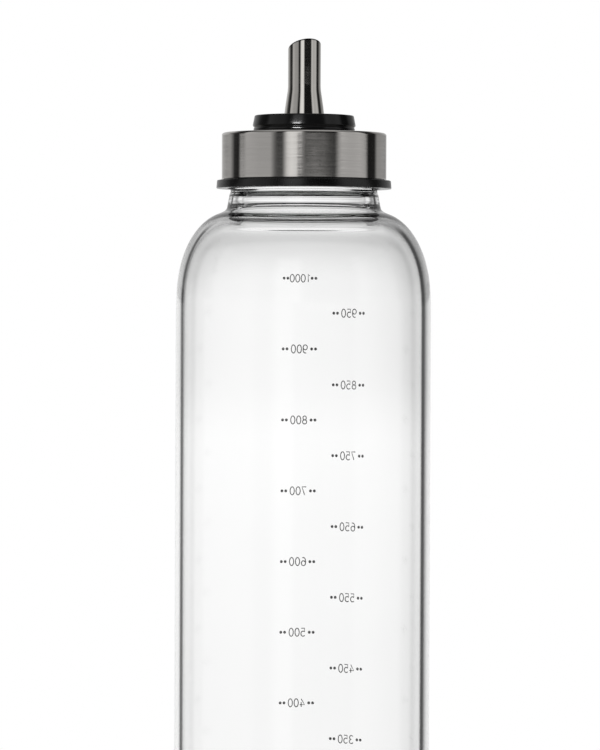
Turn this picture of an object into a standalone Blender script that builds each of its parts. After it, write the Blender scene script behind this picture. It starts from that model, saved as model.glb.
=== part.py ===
"""One litre glass oil bottle with a screw cap and a steel pouring spout.

Metres, +Z up. The origin is the centre of the base, on the surface that the bottle
stands on. The front of the bottle faces -Y. The threads are right-handed, so the cap
comes off when it is turned anticlockwise, seen from above.
"""
import math

import bmesh
import bpy
from mathutils import Matrix

# Clearances between pieces that touch or run on each other on the real bottle
GAP = 0.0003
THREAD_GAP = 0.0004
TUBE_GAP = 0.0002
CUT_PAST = 0.0005               # how far a cutting shape runs past the faces it cuts

# Glass body
BODY_RADIUS = 0.0400
BODY_HEIGHT = 0.2280            # top of the straight wall
GLASS_WALL = 0.0026
BASE_THICKNESS = 0.0050
FOOT_RADIUS = 0.0055            # outer corner at the base
FLOOR_RADIUS = 0.0045           # inner corner at the base
PUNT_RISE = 0.0015              # hollow under the base
PUNT_RADIUS = 0.0300
FLOOR_RISE = 0.0008

# Glass shoulder, a quarter of an ellipse outside and another inside
SHOULDER_REACH = 0.01705
SHOULDER_RISE = 0.02716
SHOULDER_GLASS = 0.0041         # thickness at the top of the shoulder
INNER_START = 0.0013            # how much higher the inner curve begins
INNER_NECK_FILLET = 0.0045
NECK_BLEND = 0.0026             # radial width of the blend from shoulder to neck
NECK_BLEND_RISE = 0.0019

# Glass neck and its thread
NECK_BORE_RADIUS = 0.0185
NECK_WALL = 0.0040
NECK_HEIGHT = 0.0200            # top of the shoulder to the rim
NECK_STEP = 0.0009              # how far the plain neck stands out of the thread's root
NECK_STEP_EDGE = 0.00015
NECK_FLARE = 0.0008             # how much wider the neck's foot is
NECK_FLARE_TOP = 0.0053         # above the shoulder
NECK_PLAIN_TOP = 0.0071         # above the shoulder
RIM_ROUND = 0.0012
THREAD_DEPTH = 0.0011
THREAD_PITCH = 0.00423
THREAD_TURNS = 1.35
THREAD_TOP_DROP = 0.0026        # rim to the middle of the thread's upper end
RIDGE_ROOT_HALF = 0.0011
RIDGE_CREST_HALF = 0.0005
RIDGE_SEAT = 0.0004             # how deep a ridge is let into its wall
RIDGE_TAPER_TURNS = 0.08

# Mouth gasket
GASKET_THICKNESS = 0.0015
GASKET_OVERLAP = 0.0007         # how far it reaches inside the bore

# Threaded cap
SKIRT_WALL = 0.0011
PLATE_THICKNESS = 0.0018
PLATE_EDGE = 0.0005
FLANGE_HEIGHT = 0.0026
FLANGE_LIP = 0.0016             # how far the flange stands out of the sleeve
FLANGE_FLARE = 0.0002
FLANGE_EDGE = 0.00025
CAP_THREAD_TURNS = 1.2
CAP_THREAD_LEAD = 0.2           # turns of the cap's ridge below the glass ridge

# Steel sleeve over the cap
SLEEVE_WALL = 0.0004
SLEEVE_HEIGHT = 0.0145
SLEEVE_EDGE = 0.0012

# Spout collar, snapped into the cap
SPIGOT_RADIUS = 0.0130
SNAP_REACH = 0.0009
SNAP_HEIGHT = 0.0012
SNAP_LEAD_IN = 0.0007           # height of the slope that eases it through the hole
COLLAR_HEIGHT = 0.0052
COLLAR_RADIUS = 0.0163          # at the bead that holds a dust cover
COLLAR_TAPER = 0.0005
COLLAR_EDGE = 0.00045
COLLAR_PLATE = 0.0015
BEAD_HEIGHT = 0.0026            # top of the groove above the collar's underside
BEAD_GROOVE = 0.00035
LIP_HEIGHT = 0.0021
LIP_ROUND_BOTTOM = 0.0004       # the lip's rounded edge, above the underside
LIP_ROUND_TOP = 0.0013
LIP_INSET = 0.0013              # how far the underside is drawn in from the bead
COLLAR_BORE_RADIUS = 0.0105
INSERT_BEAD = 0.0005
INSERT_BEAD_HEIGHT = 0.0009

# Spout and its gasket
SPOUT_RADIUS = 0.0053
SPOUT_WALL = 0.0005
SPOUT_FOOT_RADIUS = 0.0063
SPOUT_FLANGE_THICKNESS = 0.0006
SPOUT_BEND = 0.0008
SPOUT_FLARE_FOOT = 0.0011       # where the foot begins to narrow, above the collar's top
SPOUT_FLARE = ((0.0020, 0.00625), (0.0029, 0.00617), (0.0067, 0.00560))  # (height, radius)
SPOUT_FLARE_TOP = 0.0084
SPOUT_REACH = 0.0217            # collar's top to the middle of the slanted mouth
SPOUT_SLANT = math.radians(24.0)
SPOUT_LIP_AZIMUTH = math.radians(-70.0)   # the high side, turned from +X
SPOUT_GASKET_THICKNESS = 0.0012

# Flow insert under the spout and the air tube that it holds
INSERT_WALL = 0.0014
INSERT_FLOOR = 0.0024
INSERT_EDGE = 0.0003
FLOW_HOLE_RADIUS = 0.0025
FLOW_HOLE_OFFSET = 0.0013
AIR_TUBE_RADIUS = 0.00125
AIR_TUBE_WALL = 0.0005
AIR_TUBE_DROP = 0.0110          # how far it hangs below the insert
AIR_TUBE_SHORT = 0.0060         # how far it ends below the middle of the spout's mouth

# Facets
BODY_SEGMENTS = 48
CAP_SEGMENTS = 48
COLLAR_SEGMENTS = 40
SPOUT_SEGMENTS = 32
TUBE_SEGMENTS = 16
THREAD_SEGMENTS = 36            # steps in one turn of a thread

# Sizes that follow from the neck, from the inside out
THREAD_ROOT_RADIUS = NECK_BORE_RADIUS + NECK_WALL
THREAD_CREST_RADIUS = THREAD_ROOT_RADIUS + THREAD_DEPTH
NECK_RADIUS = THREAD_ROOT_RADIUS + NECK_STEP
SKIRT_BORE_RADIUS = THREAD_CREST_RADIUS + THREAD_GAP
SKIRT_RADIUS = SKIRT_BORE_RADIUS + SKIRT_WALL
CAP_CREST_RADIUS = THREAD_ROOT_RADIUS + THREAD_GAP
SLEEVE_RADIUS = SKIRT_RADIUS + GAP + SLEEVE_WALL
FLANGE_RADIUS = SLEEVE_RADIUS + FLANGE_LIP
INSERT_RADIUS = COLLAR_BORE_RADIUS - GAP
COLLAR_HOLE_RADIUS = SPIGOT_RADIUS + GAP
SPOUT_BORE_RADIUS = SPOUT_RADIUS - SPOUT_WALL
AIR_TUBE_OFFSET = SPOUT_BORE_RADIUS - GAP - AIR_TUBE_RADIUS

# Heights, from the base up
SHOULDER_TOP = BODY_HEIGHT + SHOULDER_RISE
RIM_Z = SHOULDER_TOP + NECK_HEIGHT
GASKET_BOTTOM = RIM_Z + GAP
GASKET_TOP = GASKET_BOTTOM + GASKET_THICKNESS
PLATE_BOTTOM = GASKET_TOP + GAP
PLATE_TOP = PLATE_BOTTOM + PLATE_THICKNESS
SLEEVE_TOP = PLATE_TOP + GAP + SLEEVE_WALL
SLEEVE_BOTTOM = SLEEVE_TOP - SLEEVE_HEIGHT
FLANGE_TOP = SLEEVE_BOTTOM - GAP
CAP_BOTTOM = FLANGE_TOP - FLANGE_HEIGHT
COLLAR_BOTTOM = SLEEVE_TOP + GAP
COLLAR_TOP = COLLAR_BOTTOM + COLLAR_HEIGHT
SNAP_TOP = PLATE_BOTTOM - GAP
SNAP_BOTTOM = SNAP_TOP - SNAP_HEIGHT
SPOUT_GASKET_TOP = COLLAR_TOP - COLLAR_PLATE - GAP
SPOUT_GASKET_BOTTOM = SPOUT_GASKET_TOP - SPOUT_GASKET_THICKNESS
SPOUT_FLANGE_TOP = SPOUT_GASKET_BOTTOM - GAP
SPOUT_BOTTOM = SPOUT_FLANGE_TOP - SPOUT_FLANGE_THICKNESS
INSERT_TOP = SPOUT_BOTTOM - GAP
INSERT_BOTTOM = SNAP_BOTTOM + INSERT_BEAD_HEIGHT + GAP
MOUTH_Z = COLLAR_TOP + SPOUT_REACH
GLASS_THREAD_START = RIM_Z - THREAD_TOP_DROP - THREAD_TURNS * THREAD_PITCH


# Outlines are lists of (radius, height)

def arc(centre, radii, start_degrees, end_degrees, steps):
    """Points on a circle or an ellipse, both ends included."""
    points = []
    for step in range(steps + 1):
        angle = math.radians(start_degrees + (end_degrees - start_degrees) * step / steps)
        points.append((centre[0] + radii[0] * math.cos(angle),
                       centre[1] + radii[1] * math.sin(angle)))
    return points


def blend(start, corner, end, steps):
    """Points on a curve that leaves start and reaches end along lines to corner."""
    points = []
    for step in range(steps + 1):
        t = step / steps
        weights = ((1 - t) ** 2, 2 * t * (1 - t), t ** 2)
        points.append(tuple(sum(weight * point[axis] for weight, point
                                in zip(weights, (start, corner, end))) for axis in (0, 1)))
    return points


def ring_outline(inner, outer, bottom, top):
    """Outline of a plain flat ring."""
    return [(inner, bottom), (outer, bottom), (outer, top), (inner, top)]


# Blender objects

def new_material(name, colour, roughness, metallic, transmission=0.0, ior=1.5):
    material = bpy.data.materials.new(name)
    material.use_nodes = True
    shader = material.node_tree.nodes["Principled BSDF"]
    shader.inputs["Base Color"].default_value = (*colour, 1.0)
    shader.inputs["Roughness"].default_value = roughness
    shader.inputs["Metallic"].default_value = metallic
    shader.inputs["Transmission Weight"].default_value = transmission
    shader.inputs["IOR"].default_value = ior
    return material


def new_object(name, mesh_builder, material=None):
    """Put a bmesh into the scene as one object, shaded smooth but for its edges."""
    mesh = bpy.data.meshes.new(name)
    bmesh.ops.recalc_face_normals(mesh_builder, faces=mesh_builder.faces)
    mesh_builder.to_mesh(mesh)
    mesh_builder.free()
    mesh.shade_smooth()
    mesh.set_sharp_from_angle(angle=math.radians(35))
    if material is not None:
        mesh.materials.append(material)
    created = bpy.data.objects.new(name, mesh)
    bpy.context.scene.collection.objects.link(created)
    return created


def turned(outline, segments, closed):
    """Turn an outline round the Z axis.

    A closed outline makes a ring. An open one has both ends on the axis.
    """
    shape = bmesh.new()
    points = [shape.verts.new((radius, 0.0, height)) for radius, height in outline]
    lines = [shape.edges.new(pair) for pair in zip(points, points[1:])]
    if closed:
        lines.append(shape.edges.new((points[-1], points[0])))
    bmesh.ops.spin(shape, geom=points + lines, cent=(0, 0, 0), axis=(0, 0, 1),
                   angle=math.tau, steps=segments, use_merge=True)
    if not closed:
        bmesh.ops.remove_doubles(shape, verts=shape.verts, dist=1e-6)
    return shape


def cutter(name, shape):
    """A helper object that a Boolean uses and nobody sees."""
    helper = new_object(name, shape)
    helper.hide_render = True
    helper.display_type = 'WIRE'
    return helper


def combine(target, helper, operation):
    step = target.modifiers.new(helper.name, 'BOOLEAN')
    step.operation = operation
    step.solver = 'EXACT'
    step.object = helper


def upright_cylinder(radius, bottom, top, place, segments):
    shape = bmesh.new()
    middle = Matrix.Translation((place[0], place[1], (bottom + top) / 2))
    bmesh.ops.create_cone(shape, cap_ends=True, segments=segments, radius1=radius,
                          radius2=radius, depth=top - bottom, matrix=middle)
    return shape


def thread_ridge(root_radius, crest_radius, start_height, start_turns, turns):
    """A helical ridge, let into the wall at its root and run out at both ends."""
    inward = 1.0 if crest_radius > root_radius else -1.0
    seat_radius = root_radius - inward * RIDGE_SEAT
    shape = bmesh.new()
    section = [shape.verts.new(place) for place in (
        (seat_radius, 0.0, -RIDGE_ROOT_HALF), (root_radius, 0.0, -RIDGE_ROOT_HALF),
        (crest_radius, 0.0, -RIDGE_CREST_HALF), (crest_radius, 0.0, RIDGE_CREST_HALF),
        (root_radius, 0.0, RIDGE_ROOT_HALF), (seat_radius, 0.0, RIDGE_ROOT_HALF))]
    face = shape.faces.new(section)
    steps = round(turns * THREAD_SEGMENTS)
    bmesh.ops.spin(shape, geom=[face], cent=(0, 0, 0), axis=(0, 0, 1),
                   dvec=(0, 0, turns * THREAD_PITCH / steps),
                   angle=turns * math.tau, steps=steps)
    shape.verts.ensure_lookup_table()
    for index, vert in enumerate(shape.verts):
        done = (index // len(section)) / steps * turns
        share = min(done, turns - done) / RIDGE_TAPER_TURNS
        radius = vert.co.xy.length
        depth = (radius - root_radius) * inward
        if share < 1.0 and depth > 0.0:
            wanted = root_radius + inward * (depth * share - RIDGE_SEAT / 2 * (1 - share))
            vert.co.xy *= wanted / radius
    bmesh.ops.rotate(shape, verts=shape.verts, cent=(0, 0, 0),
                     matrix=Matrix.Rotation(start_turns * math.tau, 3, 'Z'))
    bmesh.ops.translate(shape, verts=shape.verts, vec=(0, 0, start_height))
    return shape


# Glass bottle

def glass_outside():
    """Underside, wall, shoulder, neck and rim."""
    points = []
    punt_steps = 3
    for step in range(punt_steps + 1):
        share = step / punt_steps
        points.append((PUNT_RADIUS * share, PUNT_RISE * (1 - share ** 2)))
    points += arc((BODY_RADIUS - FOOT_RADIUS, FOOT_RADIUS),
                  (FOOT_RADIUS, FOOT_RADIUS), -90, 0, 5)

    neck_foot = NECK_RADIUS + NECK_FLARE
    blend_end = neck_foot + NECK_BLEND
    centre = BODY_RADIUS - SHOULDER_REACH
    last_angle = math.degrees(math.acos((blend_end - centre) / SHOULDER_REACH))
    points += arc((centre, BODY_HEIGHT), (SHOULDER_REACH, SHOULDER_RISE), 0, last_angle, 10)

    blend_foot = points[-1]
    slope = (SHOULDER_RISE / SHOULDER_REACH) / math.tan(math.radians(last_angle))
    corner = (neck_foot, blend_foot[1] + NECK_BLEND * slope)
    points += blend(blend_foot, corner, (neck_foot, blend_foot[1] + NECK_BLEND_RISE), 4)[1:]

    plain_top = SHOULDER_TOP + NECK_PLAIN_TOP
    points.append((NECK_RADIUS, SHOULDER_TOP + NECK_FLARE_TOP))
    points.append((NECK_RADIUS - NECK_STEP_EDGE, plain_top))
    points.append((THREAD_ROOT_RADIUS, plain_top + NECK_STEP))
    points += arc((THREAD_ROOT_RADIUS - RIM_ROUND, RIM_Z - RIM_ROUND),
                  (RIM_ROUND, RIM_ROUND), 0, 90, 3)
    return points


def glass_inside():
    """Rim, bore, inner shoulder, inner wall and floor."""
    points = arc((NECK_BORE_RADIUS + RIM_ROUND, RIM_Z - RIM_ROUND),
                 (RIM_ROUND, RIM_ROUND), 90, 180, 3)
    inner_top = SHOULDER_TOP - SHOULDER_GLASS
    fillet_centre = (NECK_BORE_RADIUS + INNER_NECK_FILLET, inner_top + INNER_NECK_FILLET)
    points += arc(fillet_centre, (INNER_NECK_FILLET, INNER_NECK_FILLET), 180, 270, 5)

    inner_wall = BODY_RADIUS - GLASS_WALL
    inner_start = BODY_HEIGHT + INNER_START
    points += arc((fillet_centre[0], inner_start),
                  (inner_wall - fillet_centre[0], inner_top - inner_start), 90, 0, 10)[1:]
    points += arc((inner_wall - FLOOR_RADIUS, BASE_THICKNESS + FLOOR_RADIUS),
                  (FLOOR_RADIUS, FLOOR_RADIUS), 0, -90, 5)
    points.append((0.0, BASE_THICKNESS + FLOOR_RISE))
    return points


def make_glass_bottle():
    glass = new_material("clear_glass", (0.95, 0.97, 0.96), 0.0, 0.0, 1.0, 1.47)
    bottle = new_object("glass_bottle",
                        turned(glass_outside() + glass_inside(), BODY_SEGMENTS, False), glass)
    ridge = cutter("glass_thread", thread_ridge(
        THREAD_ROOT_RADIUS, THREAD_CREST_RADIUS, GLASS_THREAD_START, 0.0, THREAD_TURNS))
    combine(bottle, ridge, 'UNION')


# Seals

def make_mouth_gasket():
    silicone = new_material("white_silicone", (0.85, 0.85, 0.83), 0.55, 0.0)
    outline = ring_outline(NECK_BORE_RADIUS - GASKET_OVERLAP, SKIRT_BORE_RADIUS - GAP,
                           GASKET_BOTTOM, GASKET_TOP)
    new_object("mouth_gasket", turned(outline, CAP_SEGMENTS, True), silicone)


def make_spout_gasket():
    silicone = new_material("grey_silicone", (0.55, 0.55, 0.54), 0.55, 0.0)
    outline = ring_outline(SPOUT_FOOT_RADIUS + SPOUT_BEND + GAP, INSERT_RADIUS,
                           SPOUT_GASKET_BOTTOM, SPOUT_GASKET_TOP)
    new_object("spout_gasket", turned(outline, COLLAR_SEGMENTS, True), silicone)


# Screw cap

def make_threaded_cap():
    plastic = new_material("black_plastic", (0.012, 0.012, 0.012), 0.22, 0.0)
    outline = [
        (SKIRT_BORE_RADIUS, CAP_BOTTOM),
        (FLANGE_RADIUS + FLANGE_FLARE - FLANGE_EDGE, CAP_BOTTOM),
        (FLANGE_RADIUS + FLANGE_FLARE, CAP_BOTTOM + FLANGE_EDGE),
        (FLANGE_RADIUS, FLANGE_TOP - FLANGE_EDGE),
        (FLANGE_RADIUS - FLANGE_EDGE, FLANGE_TOP),
        (SKIRT_RADIUS, FLANGE_TOP),
        (SKIRT_RADIUS, PLATE_TOP - PLATE_EDGE),
        (SKIRT_RADIUS - PLATE_EDGE, PLATE_TOP),
        (COLLAR_HOLE_RADIUS, PLATE_TOP),
        (COLLAR_HOLE_RADIUS, PLATE_BOTTOM),
        (SKIRT_BORE_RADIUS - GAP, PLATE_BOTTOM),
        (SKIRT_BORE_RADIUS, PLATE_BOTTOM - GAP),
    ]
    cap = new_object("threaded_cap", turned(outline, CAP_SEGMENTS, True), plastic)

    flank = (RIDGE_ROOT_HALF - RIDGE_CREST_HALF) / THREAD_DEPTH
    shared_depth = THREAD_CREST_RADIUS - CAP_CREST_RADIUS
    drop = 2 * RIDGE_CREST_HALF + shared_depth * flank + THREAD_GAP
    start = GLASS_THREAD_START - drop - CAP_THREAD_LEAD * THREAD_PITCH
    ridge = cutter("cap_thread", thread_ridge(
        SKIRT_BORE_RADIUS, CAP_CREST_RADIUS, start, -CAP_THREAD_LEAD, CAP_THREAD_TURNS))
    combine(cap, ridge, 'UNION')


def make_steel_sleeve():
    steel = new_material("brushed_steel", (0.58, 0.56, 0.53), 0.32, 1.0)
    inner = SLEEVE_RADIUS - SLEEVE_WALL
    corner = (SLEEVE_RADIUS - SLEEVE_EDGE, SLEEVE_TOP - SLEEVE_EDGE)
    inner_edge = SLEEVE_EDGE - SLEEVE_WALL
    outline = [(inner, SLEEVE_BOTTOM), (SLEEVE_RADIUS, SLEEVE_BOTTOM)]
    outline += arc(corner, (SLEEVE_EDGE, SLEEVE_EDGE), 0, 90, 4)
    outline += [(COLLAR_HOLE_RADIUS, SLEEVE_TOP), (COLLAR_HOLE_RADIUS, SLEEVE_TOP - SLEEVE_WALL)]
    outline += arc(corner, (inner_edge, inner_edge), 90, 0, 3)
    new_object("steel_sleeve", turned(outline, CAP_SEGMENTS, True), steel)


# Spout assembly

def make_spout_collar():
    plastic = new_material("gloss_black_plastic", (0.010, 0.010, 0.010), 0.12, 0.0)
    hole = SPOUT_FOOT_RADIUS + GAP
    bead_radius = COLLAR_BORE_RADIUS - INSERT_BEAD
    under_radius = COLLAR_RADIUS - LIP_INSET
    lip_radius = COLLAR_RADIUS - BEAD_GROOVE / 2
    outline = [
        (bead_radius, SNAP_BOTTOM),
        (SPIGOT_RADIUS, SNAP_BOTTOM),
        (SPIGOT_RADIUS + SNAP_REACH, SNAP_BOTTOM + SNAP_LEAD_IN),
        (SPIGOT_RADIUS + SNAP_REACH, SNAP_TOP),
        (SPIGOT_RADIUS, SNAP_TOP),
        (SPIGOT_RADIUS, COLLAR_BOTTOM),
        (under_radius, COLLAR_BOTTOM),
    ]
    round_bottom = COLLAR_BOTTOM + LIP_ROUND_BOTTOM
    outline += blend((under_radius, round_bottom), (lip_radius, round_bottom),
                     (lip_radius, COLLAR_BOTTOM + LIP_ROUND_TOP), 3)
    outline += [
        (lip_radius, COLLAR_BOTTOM + LIP_HEIGHT),
        (lip_radius - BEAD_GROOVE / 2, (COLLAR_BOTTOM * 2 + LIP_HEIGHT + BEAD_HEIGHT) / 2),
        (COLLAR_RADIUS, COLLAR_BOTTOM + BEAD_HEIGHT),
        (COLLAR_RADIUS - COLLAR_TAPER, COLLAR_TOP - COLLAR_EDGE),
        (COLLAR_RADIUS - COLLAR_TAPER - COLLAR_EDGE / 3, COLLAR_TOP - COLLAR_EDGE / 3),
        (COLLAR_RADIUS - COLLAR_TAPER - COLLAR_EDGE, COLLAR_TOP),
        (hole, COLLAR_TOP),
        (hole, COLLAR_TOP - COLLAR_PLATE),
        (COLLAR_BORE_RADIUS, COLLAR_TOP - COLLAR_PLATE),
        (COLLAR_BORE_RADIUS, SNAP_BOTTOM + INSERT_BEAD_HEIGHT),
        (bead_radius, SNAP_BOTTOM + INSERT_BEAD_HEIGHT / 2),
    ]
    new_object("spout_collar", turned(outline, COLLAR_SEGMENTS, True), plastic)


def spout_side(wall):
    """The spout's side from its foot up, drawn in by a wall thickness."""
    foot = SPOUT_FOOT_RADIUS - wall
    tube = SPOUT_RADIUS - wall
    bend = SPOUT_BEND + wall
    start = SPOUT_FLANGE_TOP - wall
    points = blend((foot + bend, start), (foot, start), (foot, start + bend), 3)
    points.append((foot, COLLAR_TOP + SPOUT_FLARE_FOOT))
    for height, radius in SPOUT_FLARE:
        points.append((radius - wall, COLLAR_TOP + height))
    points.append((tube, COLLAR_TOP + SPOUT_FLARE_TOP))
    points.append((tube, MOUTH_Z + SPOUT_RADIUS))
    return points


def make_pour_spout():
    steel = new_material("polished_steel", (0.62, 0.60, 0.57), 0.08, 1.0)
    outline = [(INSERT_RADIUS, SPOUT_BOTTOM), (INSERT_RADIUS, SPOUT_FLANGE_TOP)]
    outline += spout_side(0.0)
    outline += reversed(spout_side(SPOUT_WALL))
    outline[-1] = (outline[-1][0], SPOUT_BOTTOM)
    spout = new_object("pour_spout", turned(outline, SPOUT_SEGMENTS, True), steel)

    size = 8 * SPOUT_RADIUS
    tilt = (Matrix.Rotation(SPOUT_LIP_AZIMUTH, 4, 'Z')
            @ Matrix.Rotation(-SPOUT_SLANT, 4, 'Y'))
    slant = bmesh.new()
    bmesh.ops.create_cube(slant, size=size, matrix=(
        Matrix.Translation((0, 0, MOUTH_Z)) @ tilt @ Matrix.Translation((0, 0, size / 2))))
    combine(spout, cutter("slanted_mouth", slant), 'DIFFERENCE')


def air_tube_place():
    """The air tube stands on the low side of the spout's mouth."""
    return (-AIR_TUBE_OFFSET * math.cos(SPOUT_LIP_AZIMUTH),
            -AIR_TUBE_OFFSET * math.sin(SPOUT_LIP_AZIMUTH))


def make_flow_insert():
    plastic = new_material("natural_plastic", (0.70, 0.70, 0.68), 0.40, 0.0)
    floor_top = INSERT_BOTTOM + INSERT_FLOOR
    outline = [
        (0.0, INSERT_BOTTOM),
        (INSERT_RADIUS - INSERT_EDGE, INSERT_BOTTOM),
        (INSERT_RADIUS, INSERT_BOTTOM + INSERT_EDGE),
        (INSERT_RADIUS, INSERT_TOP),
        (INSERT_RADIUS - INSERT_WALL, INSERT_TOP),
        (INSERT_RADIUS - INSERT_WALL, floor_top),
        (0.0, floor_top),
    ]
    insert = new_object("flow_insert", turned(outline, COLLAR_SEGMENTS, False), plastic)

    low = INSERT_BOTTOM - CUT_PAST
    high = floor_top + CUT_PAST
    flow_place = (FLOW_HOLE_OFFSET * math.cos(SPOUT_LIP_AZIMUTH),
                  FLOW_HOLE_OFFSET * math.sin(SPOUT_LIP_AZIMUTH))
    flow_hole = upright_cylinder(FLOW_HOLE_RADIUS, low, high, flow_place, TUBE_SEGMENTS)
    combine(insert, cutter("flow_hole", flow_hole), 'DIFFERENCE')
    socket = upright_cylinder(AIR_TUBE_RADIUS + TUBE_GAP, low, high, air_tube_place(),
                              TUBE_SEGMENTS)
    combine(insert, cutter("air_tube_socket", socket), 'DIFFERENCE')


def make_air_tube():
    steel = new_material("tube_steel", (0.62, 0.60, 0.57), 0.15, 1.0)
    outline = ring_outline(AIR_TUBE_RADIUS - AIR_TUBE_WALL, AIR_TUBE_RADIUS,
                           INSERT_BOTTOM - AIR_TUBE_DROP, MOUTH_Z - AIR_TUBE_SHORT)
    shape = turned(outline, TUBE_SEGMENTS, True)
    bmesh.ops.translate(shape, verts=shape.verts, vec=(*air_tube_place(), 0.0))
    new_object("air_tube", shape, steel)


def main():
    for old in list(bpy.data.objects):
        bpy.data.objects.remove(old, do_unlink=True)
    make_glass_bottle()
    make_mouth_gasket()
    make_threaded_cap()
    make_steel_sleeve()
    make_spout_collar()
    make_spout_gasket()
    make_pour_spout()
    make_flow_insert()
    make_air_tube()


main()
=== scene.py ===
"""Looks of a one litre glass oil bottle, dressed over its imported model.

Laid out as an add-on and run as a script. Sizes are in metres, +Z is up and the front of
the bottle faces -Y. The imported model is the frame. Six of its nodes have finer pieces made
in their place, the two seals and the flow insert only get materials, and the scale is added.
"""
import math

import bmesh
import bpy
from bpy.props import (BoolProperty, FloatProperty, FloatVectorProperty, IntProperty,
                       PointerProperty)
from mathutils import Matrix, Vector


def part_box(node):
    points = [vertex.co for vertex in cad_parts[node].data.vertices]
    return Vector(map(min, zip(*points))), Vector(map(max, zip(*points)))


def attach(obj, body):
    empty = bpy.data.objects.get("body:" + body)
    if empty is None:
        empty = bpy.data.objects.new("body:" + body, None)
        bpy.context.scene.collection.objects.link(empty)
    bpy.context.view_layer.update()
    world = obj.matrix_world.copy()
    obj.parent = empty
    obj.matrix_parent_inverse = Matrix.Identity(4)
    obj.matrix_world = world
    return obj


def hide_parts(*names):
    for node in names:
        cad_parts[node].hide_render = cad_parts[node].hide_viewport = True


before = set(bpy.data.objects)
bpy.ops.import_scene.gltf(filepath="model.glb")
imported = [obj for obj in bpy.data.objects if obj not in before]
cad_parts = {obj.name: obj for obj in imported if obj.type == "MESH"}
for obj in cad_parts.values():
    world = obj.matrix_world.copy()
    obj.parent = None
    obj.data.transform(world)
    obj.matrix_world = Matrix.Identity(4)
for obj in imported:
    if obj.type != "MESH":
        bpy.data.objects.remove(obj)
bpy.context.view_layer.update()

bl_info = {
    "name": "Glass Oil Bottle",
    "version": (1, 0, 0),
    "blender": (4, 5, 0),
    "location": "View3D > Sidebar > Oil Bottle",
    "description": "Dresses the packed oil bottle and sets it in a pale studio",
    "category": "Object",
}

SHARP_ANGLE = math.radians(40.0)

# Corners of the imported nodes, from which the pieces take their places
BOTTLE_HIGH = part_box("glass_bottle")[1]
CAP_LOW, CAP_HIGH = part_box("threaded_cap")
SLEEVE_LOW, SLEEVE_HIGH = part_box("steel_sleeve")
COLLAR_LOW, COLLAR_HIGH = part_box("spout_collar")
SPOUT_LOW, SPOUT_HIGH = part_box("pour_spout")
TUBE_LOW, TUBE_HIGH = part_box("air_tube")

# Glass body, shoulder and neck
WALL = 0.0026
BASE_THICKNESS = 0.0050
FLOOR_RISE = 0.0008
FOOT_RADIUS = 0.0055
FLOOR_RADIUS = 0.0045
PUNT_RISE = 0.0015
PUNT_RADIUS = 0.0300
BODY_HEIGHT = 0.2287
SHOULDER_REACH = 0.01705
SHOULDER_RISE = 0.02646
SHOULDER_EASE = 0.0075          # reach of the gentle turn from the wall to the shoulder
SWELL = 0.00015                 # how much thicker the wall grows towards the shoulder
SWELL_HEIGHT = 0.2050
SWELL_REACH = 0.0140
CROWN_SWELL = 0.00026           # more glass where the shoulder meets the neck
CROWN_START = 0.2397
NECK_BLEND = 0.0026
NECK_BLEND_RISE = 0.0019
NECK_BORE_RADIUS = 0.0185
BORE_FLARE = 0.00103
BORE_FLARE_TOP = 0.2620
BORE_FOOT = 0.25854             # where the bore starts to bend out under the shoulder
BEND_END = math.radians(79.0)   # where that bend meets the shoulder's even wall
BEND_HANDLES = (0.452, 0.671)
BORE_RIDGE = 0.0006             # ring that pressing the neck left in its bore
BORE_RIDGE_HEIGHT = 0.26078
BORE_RIDGE_REACH = 0.00117
NECK_FOOT_RADIUS = 0.0241
NECK_DRAW = 0.00073             # how much the neck narrows up to its step
NECK_DRAW_CURVE = 0.9
NECK_STEP = 0.00037
NECK_STEP_HEIGHT = 0.26069
NECK_STEP_REACH = 0.00053
NECK_TOP = 0.2622
NECK_TAPER = 0.0007
THREAD_ROOT_RADIUS = 0.0225
RIM_ROUND = 0.0012
INNER_ROW = 0.003               # height between the rings of the inner wall
# Painted shade: a dark edge painted into the glass's colour where it is seen edge on, standing
# in for the dark refraction there
LEFT_EDGE_SHADE = [                   # how dark the painted shade on the glass is against how edge on it is seen
    (0.642, 0.0), (0.651, 0.12), (0.659, 0.50), (0.667, 0.97), (0.673, 1.0), (0.704, 1.0),
    (0.712, 0.88), (0.722, 0.62), (0.738, 0.30), (0.755, 0.12), (0.80, 0.0)]
RIGHT_EDGE_SHADE = [
    (0.603, 0.0), (0.612, 0.15), (0.622, 0.60), (0.634, 0.96), (0.644, 1.0), (0.682, 1.0),
    (0.694, 0.90), (0.708, 0.66), (0.725, 0.44), (0.745, 0.25), (0.770, 0.10), (0.80, 0.0)]
EDGE_SHADE_END = (0.55, 0.85)             # how far a normal leans up where these two painted shades fade out
SHOULDER_EDGE_SHADE = [(0.70, 0.0), (0.80, 0.40), (0.92, 0.52), (1.0, 0.55)]
SHOULDER_EDGE_SHADE_START = (0.25, 0.50)  # and where the shoulder's painted edge shade comes in

# Threads
THREAD_PITCH = 0.00423
THREAD_DEPTH = 0.0011
THREAD_GAP = 0.0004
GLASS_THREAD_TURNS = 1.35
GLASS_THREAD_DROP = 0.0026      # rim to the middle of the thread's upper end
CAP_THREAD_TURNS = 1.2
CAP_THREAD_LEAD = 0.2           # turns of the cap's ridge below the glass ridge
RIDGE_ROOT_HALF = 0.0011
RIDGE_CREST_HALF = 0.0005
RIDGE_TAPER_TURNS = 0.08
RIDGE_ROW = 0.0002              # height of one row of faces in a threaded wall
# Height of the middle of the glass ridge at its lower end
THREAD_START = BOTTLE_HIGH.z - GLASS_THREAD_DROP - GLASS_THREAD_TURNS * THREAD_PITCH

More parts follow.
